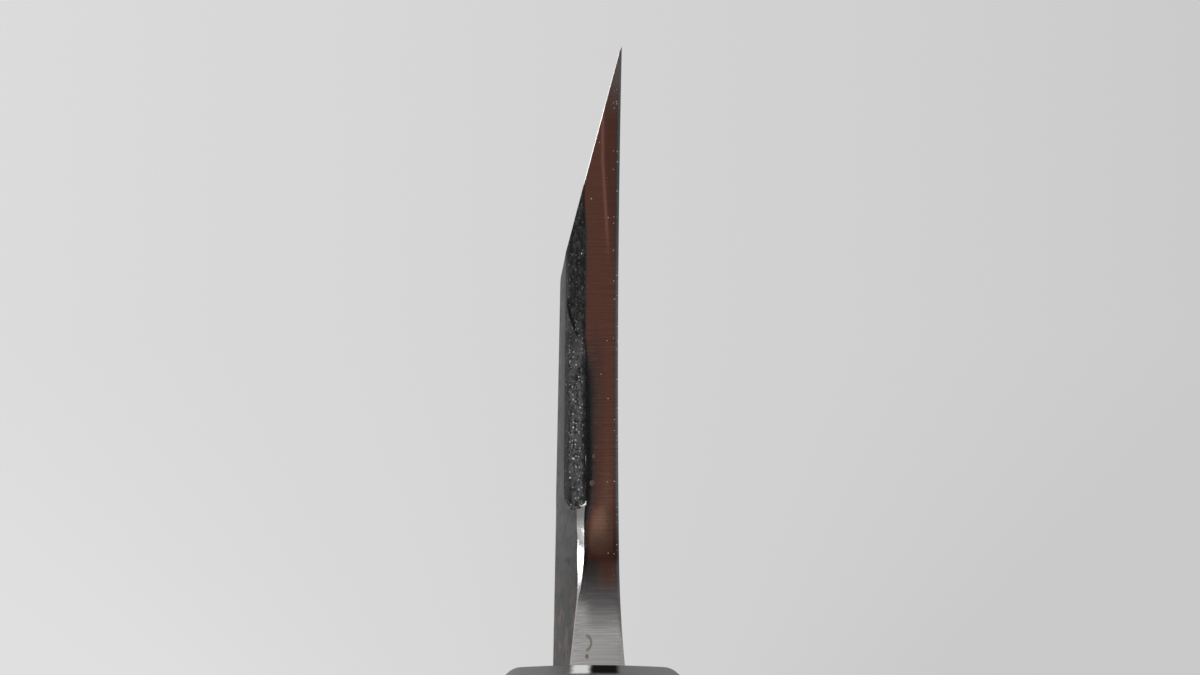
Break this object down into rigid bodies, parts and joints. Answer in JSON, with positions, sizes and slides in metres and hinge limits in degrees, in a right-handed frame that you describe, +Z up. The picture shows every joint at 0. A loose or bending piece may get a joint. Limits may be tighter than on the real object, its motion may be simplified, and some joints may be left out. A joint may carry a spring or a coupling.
{
  "type": "deba knife",
  "caption": "Single-bevel kitchen knife with a deep, stiff, tapering blade of soft iron and edge steel, its tang bedded in an octagonal wooden handle with a horn ferrule, for cutting up fish.",
  "frame": {"origin": "on the surface that the knife stands on, under the middle of its length", "axes": "+Y along the knife from the butt to the tip, +Z up to the cutting edge, +X out of the flat back of the blade"},
  "size_m": [0.0234, 0.336, 0.0609],
  "materials": {
    "soft_iron": "satin soft iron with a hazy bevel and a little patina",
    "edge_steel": "fine-ground hard steel, brighter than the iron",
    "horn": "polished black horn",
    "handle_wood": "bare sanded wood with fine straight grain",
    "bedding": "dark resin"
  },
  "bodies": {
    "root": {"soft_iron_body": "soft_iron", "edge_steel": "edge_steel", "horn_ferrule": "horn", "handle_body": "handle_wood", "tang_bedding": "bedding"}
  },
  "joints": []
}
